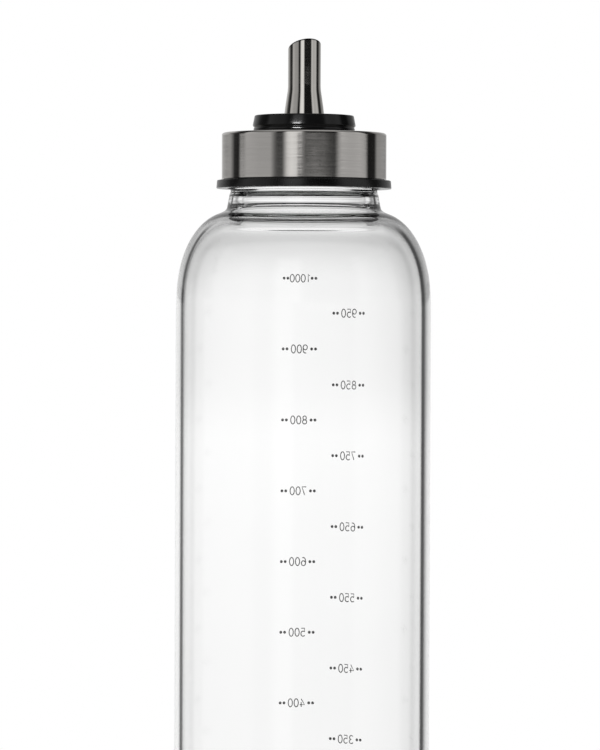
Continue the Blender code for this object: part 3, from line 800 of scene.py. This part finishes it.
class OILBOTTLE_OT_glass(bpy.types.Operator):
    """Make the clear bottle with its threaded neck"""
    bl_idname = "oil_bottle.glass"
    bl_label = "Glass Bottle"

    def execute(self, context):
        settings = context.scene.oil_bottle_glass
        ink = context.scene.oil_bottle_scale.thickness
        shape = joined([
            turned(glass_outside(BOTTLE_HIGH.x - ink), settings.facets, closed=False),
            turned(glass_inside(BOTTLE_HIGH.x), settings.facets, closed=False,
                   material_index=1)])
        raise_thread(shape, THREAD_ROOT_RADIUS, THREAD_ROOT_RADIUS + THREAD_DEPTH,
                     THREAD_START, 0.0, GLASS_THREAD_TURNS)
        finished(shape, "bottle_glass",
                 [clear_glass("clear_glass", settings, True),
                  clear_glass("clear_glass_inside", settings, False)],
                 "bottle", "glass_bottle")
        return {"FINISHED"}


# Volume scale

# Strokes of the digits, in a cell one unit high and round x = 0
NINE = [arc((0, 0.70), (0.27, 0.30), 0, 360, 20),
        [(0.27, 0.70)] + arc((-0.02, 0.40), (0.29, 0.40), 0, -115, 10)]
DIGIT_STROKES = {
    "0": [arc((0, 0.50), (0.27, 0.50), 0, 360, 24)],
    "1": [[(-0.14, 0.80), (0.06, 1.0), (0.06, 0.0)]],
    "2": [arc((0, 0.72), (0.26, 0.28), 165, -40, 12) + [(-0.27, 0.0), (0.28, 0.0)]],
    "3": [arc((-0.02, 0.75), (0.24, 0.25), 150, -90, 12)
          + arc((-0.02, 0.25), (0.28, 0.25), 90, -150, 12)[1:]],
    "4": [[(0.31, 0.27), (-0.30, 0.27), (0.12, 1.0)], [(0.12, 0.58), (0.12, 0.0)]],
    "5": [[(0.24, 1.0), (-0.19, 1.0), (-0.21, 0.55)]
          + arc((-0.01, 0.32), (0.28, 0.32), 130, -140, 14)],
    "6": [[(-x, 1 - y) for x, y in points] for points in NINE],
    "7": [[(-0.27, 1.0), (0.27, 1.0), (-0.08, 0.0)]],
    "8": [arc((0, 0.76), (0.22, 0.24), 0, 360, 20), arc((0, 0.26), (0.27, 0.26), 0, 360, 20)],
    "9": NINE,
}


def flat_label(text, settings):
    """A number with two dots on either side, round the origin and facing +Z."""
    curve = bpy.data.curves.new("strokes", "CURVE")
    curve.dimensions = "3D"
    curve.bevel_depth = settings.stroke / 2
    curve.bevel_resolution = 1
    curve.use_fill_caps = True
    pitch = settings.digit_pitch * (FOUR_DIGIT_PITCH if len(text) > 3 else 1.0)
    strokes = [[(place * pitch + x * settings.digit_height,
                 (y - 0.5) * settings.digit_height) for x, y in points]
               for place, digit in enumerate(text) for points in DIGIT_STROKES[digit]]
    ends = [x for points in strokes for x, y in points]
    middle = (min(ends) + max(ends)) / 2
    for points in strokes:
        closed = math.dist(points[0], points[-1]) < 1e-9
        spline = curve.splines.new("POLY")
        spline.points.add(len(points) - 1 - closed)
        spline.use_cyclic_u = closed
        for target, (x, y) in zip(spline.points, points):
            target.co = (x - middle, y, 0.0, 1.0)
    carrier = bpy.data.objects.new("strokes", curve)
    mesh = bpy.data.meshes.new_from_object(carrier)
    bpy.data.objects.remove(carrier)
    bpy.data.curves.remove(curve)
    shape = bmesh.new()
    shape.from_mesh(mesh)
    bpy.data.meshes.remove(mesh)
    bmesh.ops.scale(shape, verts=shape.verts,
                    vec=(1, 1, 2 * settings.thickness / settings.stroke))
    for place in (-OUTER_DOT, -INNER_DOT, INNER_DOT, OUTER_DOT):
        dot = bmesh.ops.create_uvsphere(shape, u_segments=20, v_segments=8,
                                        radius=settings.dot_radius)["verts"]
        bmesh.ops.scale(shape, verts=dot,
                        vec=(1, 1, settings.thickness / settings.dot_radius))
        bmesh.ops.translate(shape, verts=dot, vec=(place, 0, 0))
    return shape


def fired_ink(settings):
    """Matt ink with a fine grain."""
    material, tree, shader, place = new_material("scale_ink")
    shader.inputs["Specular IOR Level"].default_value = 0.1
    grain = placed(tree, moulded_grain, place, 5000.0)["Grain"]
    feed(tree, shader.inputs["Base Color"],
         mixed(tree, grain, colour(settings.colour, 0.7), colour(settings.colour, 1.6)))
    feed(tree, shader.inputs["Roughness"], ranged(tree, grain, 0.0, 1.0, 0.42, 0.58))
    bumped(tree, shader, grain, 0.000004)
    return material


class OILBOTTLE_OT_scale(bpy.types.Operator):
    """Print the volume scale on the outside of the back wall"""
    bl_idname = "oil_bottle.scale"
    bl_label = "Volume Scale"

    def execute(self, context):
        settings = context.scene.oil_bottle_scale
        labels = []
        for volume in range(SCALE_FIRST, SCALE_LAST - 1, -SCALE_INTERVAL):
            drop = (SCALE_FIRST - volume) / SCALE_INTERVAL * SCALE_STEP
            column = COLUMN_FIFTIES if volume % 100 else COLUMN_HUNDREDS
            label = flat_label(str(volume), settings)
            for vert in label.verts:
                height = SCALE_TOP - drop + vert.co.y
                angle = (column - drop * SCALE_LEAN - vert.co.x) / BOTTLE_HIGH.x
                radius = (BOTTLE_HIGH.x - gently_drawn_in(height) - settings.thickness
                          + vert.co.z)
                vert.co = (radius * math.sin(angle), radius * math.cos(angle), height)
            labels.append(label)
        finished(joined(labels), "volume_scale", [fired_ink(settings)], "bottle")
        return {"FINISHED"}


# Closure

class OILBOTTLE_OT_cap(bpy.types.Operator):
    """Make the black screw cap with its flange and inner thread"""
    bl_idname = "oil_bottle.cap"
    bl_label = "Threaded Cap"

    def execute(self, context):
        settings = context.scene.oil_bottle_closure
        bore = THREAD_ROOT_RADIUS + THREAD_DEPTH + THREAD_GAP
        skirt = bore + SKIRT_WALL
        flange_top = CAP_LOW.z + FLANGE_HEIGHT
        flange_radius = SLEEVE_HIGH.x + FLANGE_LIP
        plate_bottom = CAP_HIGH.z - PLATE_THICKNESS
        hole = SPIGOT_RADIUS + GAP
        outline = rows((bore, plate_bottom - GAP), (bore, CAP_LOW.z + GAP), RIDGE_ROW)
        outline += softened([
            (bore, CAP_LOW.z, GAP / 2),
            (CAP_HIGH.x - FLANGE_EASE, CAP_LOW.z, SOFT_ROUND),
            (flange_radius, flange_top, FLANGE_ROUND),
            (skirt, flange_top, 0.0),
            (skirt, CAP_HIGH.z, SKIRT_ROUND),
            (hole, CAP_HIGH.z, ROUND),
            (hole, plate_bottom, ROUND),
            (bore - GAP, plate_bottom, 0.0),
        ])
        shape = turned(outline, settings.facets)
        crest = THREAD_ROOT_RADIUS + THREAD_GAP
        flank = (RIDGE_ROOT_HALF - RIDGE_CREST_HALF) / THREAD_DEPTH
        drop = (2 * RIDGE_CREST_HALF + (THREAD_ROOT_RADIUS + THREAD_DEPTH - crest) * flank
                + THREAD_GAP)
        raise_thread(shape, bore, crest, THREAD_START - drop - CAP_THREAD_LEAD * THREAD_PITCH,
                     -CAP_THREAD_LEAD, CAP_THREAD_TURNS)
        plastic = moulded("black_plastic", settings.black_colour, rough=(0.24, 0.05),
                          density=2600.0, depth=0.000004, marks=0.05)
        finished(shape, "cap_plastic", [plastic], "cap", "threaded_cap")
        return {"FINISHED"}


class OILBOTTLE_OT_sleeve(bpy.types.Operator):
    """Make the brushed steel sleeve over the cap"""
    bl_idname = "oil_bottle.sleeve"
    bl_label = "Steel Sleeve"

    def execute(self, context):
        settings = context.scene.oil_bottle_closure
        low, top = SLEEVE_LOW.z, SLEEVE_HIGH.z
        outer = SLEEVE_HIGH.x
        inner = outer - SLEEVE_WALL
        corner = (outer - SLEEVE_EDGE, top - SLEEVE_EDGE)
        inner_edge = SLEEVE_EDGE - SLEEVE_WALL
        hole = SPIGOT_RADIUS + GAP
        edge = SLEEVE_WALL / 4
        outline = blend((inner, low + edge), (inner, low), (inner + edge, low), 3)
        outline += blend((outer - edge, low), (outer, low), (outer, low + edge), 3)
        # Rings close to its ends keep the wall's shading straight
        outline += [(outer, low + 2 * edge), (outer, corner[1] - edge)]
        outline += arc(corner, (SLEEVE_EDGE, SLEEVE_EDGE), 0, 90, 12)
        outline += blend((hole + edge, top), (hole, top), (hole, top - edge), 3)
        outline += [(hole, top - SLEEVE_WALL)]
        outline += arc(corner, (inner_edge, inner_edge), 90, 0, 8)
        shape = turned(outline, settings.facets)
        brushed = steel("brushed_steel", settings.brushed_colour, contrast=0.05,
                        rough=(0.06, 0.02), density=(60.0, 60.0, settings.line_density),
                        depth=0.000004, marks=0.02 if settings.finger_marks else 0.0,
                        anisotropy=1.0)
        finished(shape, "sleeve_steel", [brushed], "cap", "steel_sleeve")
        return {"FINISHED"}


class OILBOTTLE_OT_collar(bpy.types.Operator):
    """Make the glossy collar that holds the spout"""
    bl_idname = "oil_bottle.collar"
    bl_label = "Spout Collar"

    def execute(self, context):
        settings = context.scene.oil_bottle_closure
        top = COLLAR_HIGH.z
        bottom = top - COLLAR_HEIGHT
        radius = COLLAR_HIGH.x - COLLAR_EASE
        low = COLLAR_LOW.z
        snap_top = low + SNAP_HEIGHT
        hole = SPOUT_FOOT_RADIUS + GAP
        bead = COLLAR_BORE_RADIUS - INSERT_BEAD
        under = radius - LIP_INSET
        lip = radius - BEAD_GROOVE / 2
        outline = softened([
            (bead, low, ROUND),
            (SPIGOT_RADIUS, low, HOLE_ROUND),
            (SPIGOT_RADIUS + SNAP_REACH, low + SNAP_LEAD_IN, ROUND),
            (SPIGOT_RADIUS + SNAP_REACH, snap_top, ROUND),
            (SPIGOT_RADIUS, snap_top, 0.0),
            (SPIGOT_RADIUS, bottom, 0.0),
            (under, bottom, ROUND),
            (under, bottom + LIP_ROUND_BOTTOM, ROUND),
            (lip, bottom + LIP_ROUND_BOTTOM, LIP_ROUND_TOP - LIP_ROUND_BOTTOM),
            (lip, bottom + LIP_HEIGHT, SOFT_ROUND),
            (lip - BEAD_GROOVE / 2, bottom + (LIP_HEIGHT + BEAD_HEIGHT) / 2, ROUND),
            (radius, bottom + BEAD_HEIGHT, BEAD_ROUND),
            (radius - COLLAR_TAPER, top, COLLAR_ROUND),
            (hole, top, HOLE_ROUND),
            (hole, top - COLLAR_PLATE, ROUND),
            (COLLAR_BORE_RADIUS, top - COLLAR_PLATE, 0.0),
            (COLLAR_BORE_RADIUS, low + INSERT_BEAD_HEIGHT, ROUND),
            (bead, low + INSERT_BEAD_HEIGHT / 2, ROUND),
        ], 5)
        shape = turned(outline, settings.facets)
        gloss = moulded("gloss_black_plastic", settings.black_colour, rough=(0.13, 0.02),
                        density=1500.0, depth=0.000001, marks=0.05, specular=0.3)
        finished(shape, "collar_plastic", [gloss], "cap", "spout_collar")
        return {"FINISHED"}


def dull_lip(material, slant, lip):
    """Painted shade on the steel where the tube was cut, at this distance along the slant's
    normal.
    """
    tree = material.node_tree
    base = tree.nodes["Principled BSDF"].inputs["Base Color"]
    place = add(tree, "ShaderNodeTexCoord").outputs["Object"]
    along = add(tree, "ShaderNodeVectorMath", {0: place, 1: slant}, operation="DOT_PRODUCT")
    cut = ranged(tree, along.outputs["Value"], lip - SPOUT_LIP_SHADE_DEPTH, lip - SPOUT_LIP_SHADE_DEPTH / 2)
    feed(tree, base, mixed(tree, cut, base.links[0].from_socket, colour(SPOUT_LIP_SHADE_COLOUR)))


def spout_side(wall, flange_top, mouth):
    """The spout's side from its foot up, drawn in by a wall thickness."""
    foot = SPOUT_FOOT_RADIUS - wall
    radius = SPOUT_RADIUS - wall
    bend = SPOUT_BEND + wall
    start = flange_top - wall
    collar_top = COLLAR_HIGH.z
    points = blend((foot + bend, start), (foot, start), (foot, start + bend), 6)
    corners = [(foot, collar_top + SPOUT_FLARE_FOOT),
               (SPOUT_FLARE[1] - wall, collar_top + SPOUT_FLARE[0]),
               (radius, collar_top + SPOUT_FLARE_TOP)]
    ends = corners + [(radius, collar_top + SPOUT_FLARE_END)]
    for before, corner, after in zip([points[-1]] + corners, corners, ends[1:]):
        first = [(a + b) / 2 for a, b in zip(before, corner)]
        last = [(a + b) / 2 for a, b in zip(corner, after)]
        points += blend(first, corner, last, 8)
    points.append((radius, mouth + 2 * SPOUT_RADIUS))
    return points


class OILBOTTLE_OT_spout(bpy.types.Operator):
    """Make the polished spout and the air tube inside it"""
    bl_idname = "oil_bottle.spout"
    bl_label = "Pouring Spout"

    def execute(self, context):
        settings = context.scene.oil_bottle_closure
        flange_top = SPOUT_LOW.z + SPOUT_FLANGE_THICKNESS
        mouth = COLLAR_HIGH.z + SPOUT_REACH
        outline = [(SPOUT_HIGH.x, SPOUT_LOW.z), (SPOUT_HIGH.x, flange_top)]
        outline += spout_side(0.0, flange_top, mouth)
        outline += reversed(spout_side(SPOUT_WALL, flange_top, mouth))
        outline.append((SPOUT_FOOT_RADIUS + SPOUT_BEND, SPOUT_LOW.z))
        shape = turned(outline, facets=128)
        slant = (Matrix.Rotation(SPOUT_LIP_AZIMUTH, 3, "Z")
                 @ Matrix.Rotation(-SPOUT_SLANT, 3, "Y") @ Vector((0, 0, 1)))
        top = Vector((0, 0, mouth))
        for drop, clear in ((SPOUT_LIP_LOOP, False), (0.0, True)):
            whole = shape.verts[:] + shape.edges[:] + shape.faces[:]
            cut = bmesh.ops.bisect_plane(shape, geom=whole, plane_co=top - slant * drop,
                                         plane_no=slant, clear_outer=clear)["geom_cut"]
        rim = [item for item in cut if isinstance(item, bmesh.types.BMEdge)]
        lip = bmesh.ops.bridge_loops(shape, edges=rim)["faces"]
        edges = {edge for face in lip for edge in face.edges
                 if sum(other in lip for other in edge.link_faces) == 1
                 and edge.verts[0].co.xy.length > SPOUT_RADIUS - SPOUT_WALL / 2}
        bmesh.ops.bevel(shape, geom=list(edges), offset=SPOUT_LIP_ROUND,
                        offset_type="OFFSET", segments=4, profile=0.5, affect="EDGES",
                        material=-1)
        marks = 0.03 if settings.finger_marks else 0.0
        polished = steel("polished_steel", settings.polished_colour, contrast=0.03,
                         rough=(0.05, 0.015), density=(90.0, 90.0, 3 * settings.line_density),
                         depth=0.0000002, marks=marks)
        # Painted shade along the cut lip
        dull_lip(polished, slant, top.dot(slant))
        finished(shape, "spout_steel", [polished], "cap", "pour_spout")

        middle = (TUBE_LOW + TUBE_HIGH) / 2
        radius = (TUBE_HIGH.x - TUBE_LOW.x) / 2
        bore = radius - AIR_TUBE_WALL
        edge = AIR_TUBE_WALL / 4
        outline = softened([(bore, TUBE_LOW.z, edge), (radius, TUBE_LOW.z, edge),
                            (radius, TUBE_HIGH.z, edge), (bore, TUBE_HIGH.z, edge)])
        tube = turned(outline, facets=48)
        bmesh.ops.translate(tube, verts=tube.verts, vec=(middle.x, middle.y, 0))
        drawn = steel("tube_steel", settings.polished_colour, contrast=0.10,
                      rough=(0.18, 0.05), density=(5200.0, 5200.0, 60.0),
                      depth=0.000002, marks=marks)
        finished(tube, "air_tube_steel", [drawn], "cap", "air_tube")
        return {"FINISHED"}


class OILBOTTLE_OT_seals(bpy.types.Operator):
    """Finish the seals and the flow insert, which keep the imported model's shapes"""
    bl_idname = "oil_bottle.seals"
    bl_label = "Seals and Flow Insert"

    def execute(self, context):
        finishes = {
            "mouth_gasket": moulded("white_silicone", (0.80, 0.80, 0.77), rough=(0.50, 0.08),
                                    density=2200.0, depth=0.000008, contrast=0.04),
            "spout_gasket": moulded("grey_silicone", (0.52, 0.52, 0.51), rough=(0.52, 0.08),
                                    density=2200.0, depth=0.000008, contrast=0.05),
            "flow_insert": moulded("natural_plastic", (0.66, 0.66, 0.63), rough=(0.38, 0.06),
                                   density=1800.0, depth=0.000006, contrast=0.04),
        }
        for node, material in finishes.items():
            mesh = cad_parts[node].data
            mesh.materials.clear()
            mesh.materials.append(material)
        return {"FINISHED"}


# Stage

def add_camera(scene, settings):
    """A camera in front of the bottle, leaning and looking down a little."""
    data = bpy.data.cameras.new("view")
    data.lens = settings.focal_length
    data.sensor_width = 36.0
    data.clip_start = 0.01
    data.clip_end = 50.0
    camera = bpy.data.objects.new("view", data)
    camera.location = (settings.camera_side, -settings.camera_distance,
                       settings.camera_height)
    camera.rotation_euler = (math.radians(90.0) - settings.camera_pitch,
                             -settings.camera_roll, 0.0)
    scene.collection.objects.link(camera)
    scene.camera = camera


def add_lamp(name, power, size, location):
    """A soft lamp aimed at the bottle, that lights it but is neither seen nor mirrored."""
    data = bpy.data.lights.new(name, "AREA")
    data.energy = power
    data.shape = "DISK"
    data.size = size
    lamp = bpy.data.objects.new(name, data)
    lamp.location = location
    aim = Vector((0.0, 0.0, LAMP_AIM)) - lamp.location
    lamp.rotation_euler = aim.to_track_quat("-Z", "Y").to_euler()
    lamp.visible_camera = lamp.visible_glossy = lamp.visible_transmission = False
    bpy.context.scene.collection.objects.link(lamp)
    return lamp


def add_glint(power):
    """A strip lamp that shows as two small glints on the collar's edges."""
    lamp = add_lamp("glint_lamp", power, size=0.3, location=(-0.283, -0.939, 0.483))
    lamp.data.shape = "RECTANGLE"
    lamp.data.size_y = 0.24
    lamp.visible_glossy = True
    collar = bpy.data.collections.new("glint_receiver")
    collar.objects.link(bpy.data.objects["collar_plastic"])
    lamp.light_linking.receiver_collection = collar


def add_floor():
    """A white floor that shows a shadow near the bottle and melts into the backdrop."""
    shape = bmesh.new()
    bmesh.ops.create_circle(shape, cap_ends=True, segments=64, radius=STUDIO_FLOOR_RADIUS)
    mesh = bpy.data.meshes.new("studio_floor")
    shape.to_mesh(mesh)
    shape.free()
    floor = bpy.data.objects.new("studio_floor", mesh)
    bpy.context.scene.collection.objects.link(floor)

    material, tree, shader, place = new_material("pale_floor")
    mesh.materials.append(material)
    tree.nodes.remove(shader)
    ray = add(tree, "ShaderNodeLightPath").outputs
    seen = sums(tree, "MAXIMUM", ray["Is Camera Ray"], ray["Is Transmission Ray"])
    reflected = sums(tree, "MULTIPLY", ray["Is Glossy Ray"], STUDIO_FLOOR_MIRRORED)
    lift = sums(tree, "MULTIPLY", sums(tree, "MAXIMUM", seen, reflected), STUDIO_FLOOR_LIFT)
    lit = add(tree, "ShaderNodeBsdfDiffuse", {"Color": (0.80, 0.80, 0.80, 1.0)})
    lifted = add(tree, "ShaderNodeEmission", {"Strength": lift})
    close = add(tree, "ShaderNodeAddShader", {0: lit.outputs[0], 1: lifted.outputs[0]})
    away = add(tree, "ShaderNodeVectorMath", {0: place}, operation="LENGTH")
    near = gradual(tree, away.outputs["Value"], *STUDIO_FLOOR_FADE, 1.0, 0.0)
    above = sums(tree, "SUBTRACT", 1.0,
                 add(tree, "ShaderNodeNewGeometry").outputs["Backfacing"])
    clear = add(tree, "ShaderNodeBsdfTransparent")
    faded = add(tree, "ShaderNodeMixShader", {0: sums(tree, "MULTIPLY", near, above),
                                              1: clear.outputs[0], 2: close.outputs[0]})
    feed(tree, tree.nodes["Material Output"].inputs["Surface"], faded.outputs[0])


def add_studio(scene, settings):
    """White behind the bottle, and softboxes with dark gaps for metal to mirror."""
    world = bpy.data.worlds.new("studio")
    scene.world = world
    world.use_nodes = True
    tree = world.node_tree
    direction = add(tree, "ShaderNodeTexCoord").outputs["Generated"]
    direction = add(tree, "ShaderNodeSeparateXYZ", {0: direction}).outputs
    rise = direction["Z"]

    azimuth = sums(tree, "ARCTAN2", direction["X"],
                   sums(tree, "MULTIPLY", direction["Y"], -1.0))
    mirrored = by_angle(tree, azimuth, 180, LOW_BANDS)
    for low, high, bands in UPPER_BANDS:
        mirrored = mixed(tree, gradual(tree, rise, low, high), mirrored,
                         by_angle(tree, azimuth, 180, bands))

    backdrop = ramp(tree, ranged(tree, rise, BACKDROP_LOWEST, 1.0),
                    [((math.sin(math.radians(degrees)) - BACKDROP_LOWEST)
                      / (1 - BACKDROP_LOWEST), level) for degrees, level in BACKDROP])
    aside = sums(tree, "ARCTAN2", direction["X"], direction["Y"])
    sides = [by_angle(tree, aside, BACKDROP_SPAN, levels)
             for levels in (BACKDROP_SIDES_LOW, BACKDROP_SIDES_HIGH)]
    backdrop = sums(tree, "MULTIPLY", backdrop,
                    mixed(tree, gradual(tree, rise, *BACKDROP_CHANGE), *sides))

    ray = add(tree, "ShaderNodeLightPath").outputs
    shown = mixed(tree, ray["Is Glossy Ray"], colour((settings.ambient,) * 3), mirrored)
    shown = mixed(tree, ray["Is Transmission Ray"], shown, backdrop)
    shown = mixed(tree, ray["Is Camera Ray"], shown, (1.0, 1.0, 1.0, 1.0))
    feed(tree, tree.nodes["Background"].inputs["Color"], shown)


class OILBOTTLE_OT_stage(bpy.types.Operator):
    """Set the camera, the lamps, the pale floor and the studio round the bottle"""
    bl_idname = "oil_bottle.stage"
    bl_label = "Studio Stage"

    def execute(self, context):
        settings = context.scene.oil_bottle_stage
        add_camera(context.scene, settings)
        add_lamp("key_lamp", settings.key_power, size=0.9, location=(-0.9, -0.9, 1.5))
        add_lamp("fill_lamp", settings.key_power * 0.35, size=1.2, location=(1.3, -0.5, 0.9))
        add_glint(settings.glint_power)
        add_floor()
        add_studio(context.scene, settings)
        context.scene.view_settings.view_transform = "Standard"
        return {"FINISHED"}


# Panel and registration

class OILBOTTLE_PT_sidebar(bpy.types.Panel):
    """The steps that dress the bottle"""
    bl_idname = "OILBOTTLE_PT_sidebar"
    bl_label = "Oil Bottle"
    bl_space_type = "VIEW_3D"
    bl_region_type = "UI"
    bl_category = "Oil Bottle"

    def draw(self, context):
        layout = self.layout
        for step in STEPS:
            layout.operator(step.bl_idname)
        for owner in SETTINGS:
            box = layout.box()
            settings = getattr(context.scene, owner)
            for name in settings.__annotations__:
                box.prop(settings, name)


SETTINGS = {
    "oil_bottle_glass": OilBottleGlassSettings,
    "oil_bottle_scale": OilBottleScaleSettings,
    "oil_bottle_closure": OilBottleClosureSettings,
    "oil_bottle_stage": OilBottleStageSettings,
}
STEPS = (OILBOTTLE_OT_glass, OILBOTTLE_OT_scale, OILBOTTLE_OT_cap, OILBOTTLE_OT_sleeve,
         OILBOTTLE_OT_collar, OILBOTTLE_OT_spout, OILBOTTLE_OT_seals, OILBOTTLE_OT_stage)


def register():
    for owner, settings in SETTINGS.items():
        bpy.utils.register_class(settings)
        setattr(bpy.types.Scene, owner, PointerProperty(type=settings))
    for step in STEPS:
        bpy.utils.register_class(step)
    bpy.utils.register_class(OILBOTTLE_PT_sidebar)


def unregister():
    bpy.utils.unregister_class(OILBOTTLE_PT_sidebar)
    for step in reversed(STEPS):
        bpy.utils.unregister_class(step)
    for owner, settings in reversed(SETTINGS.items()):
        delattr(bpy.types.Scene, owner)
        bpy.utils.unregister_class(settings)


def main():
    register()
    bpy.ops.oil_bottle.glass()
    bpy.ops.oil_bottle.scale()
    bpy.ops.oil_bottle.cap()
    bpy.ops.oil_bottle.sleeve()
    bpy.ops.oil_bottle.collar()
    bpy.ops.oil_bottle.spout()
    bpy.ops.oil_bottle.seals()
    bpy.ops.oil_bottle.stage()


if __name__ == "__main__":
    main()
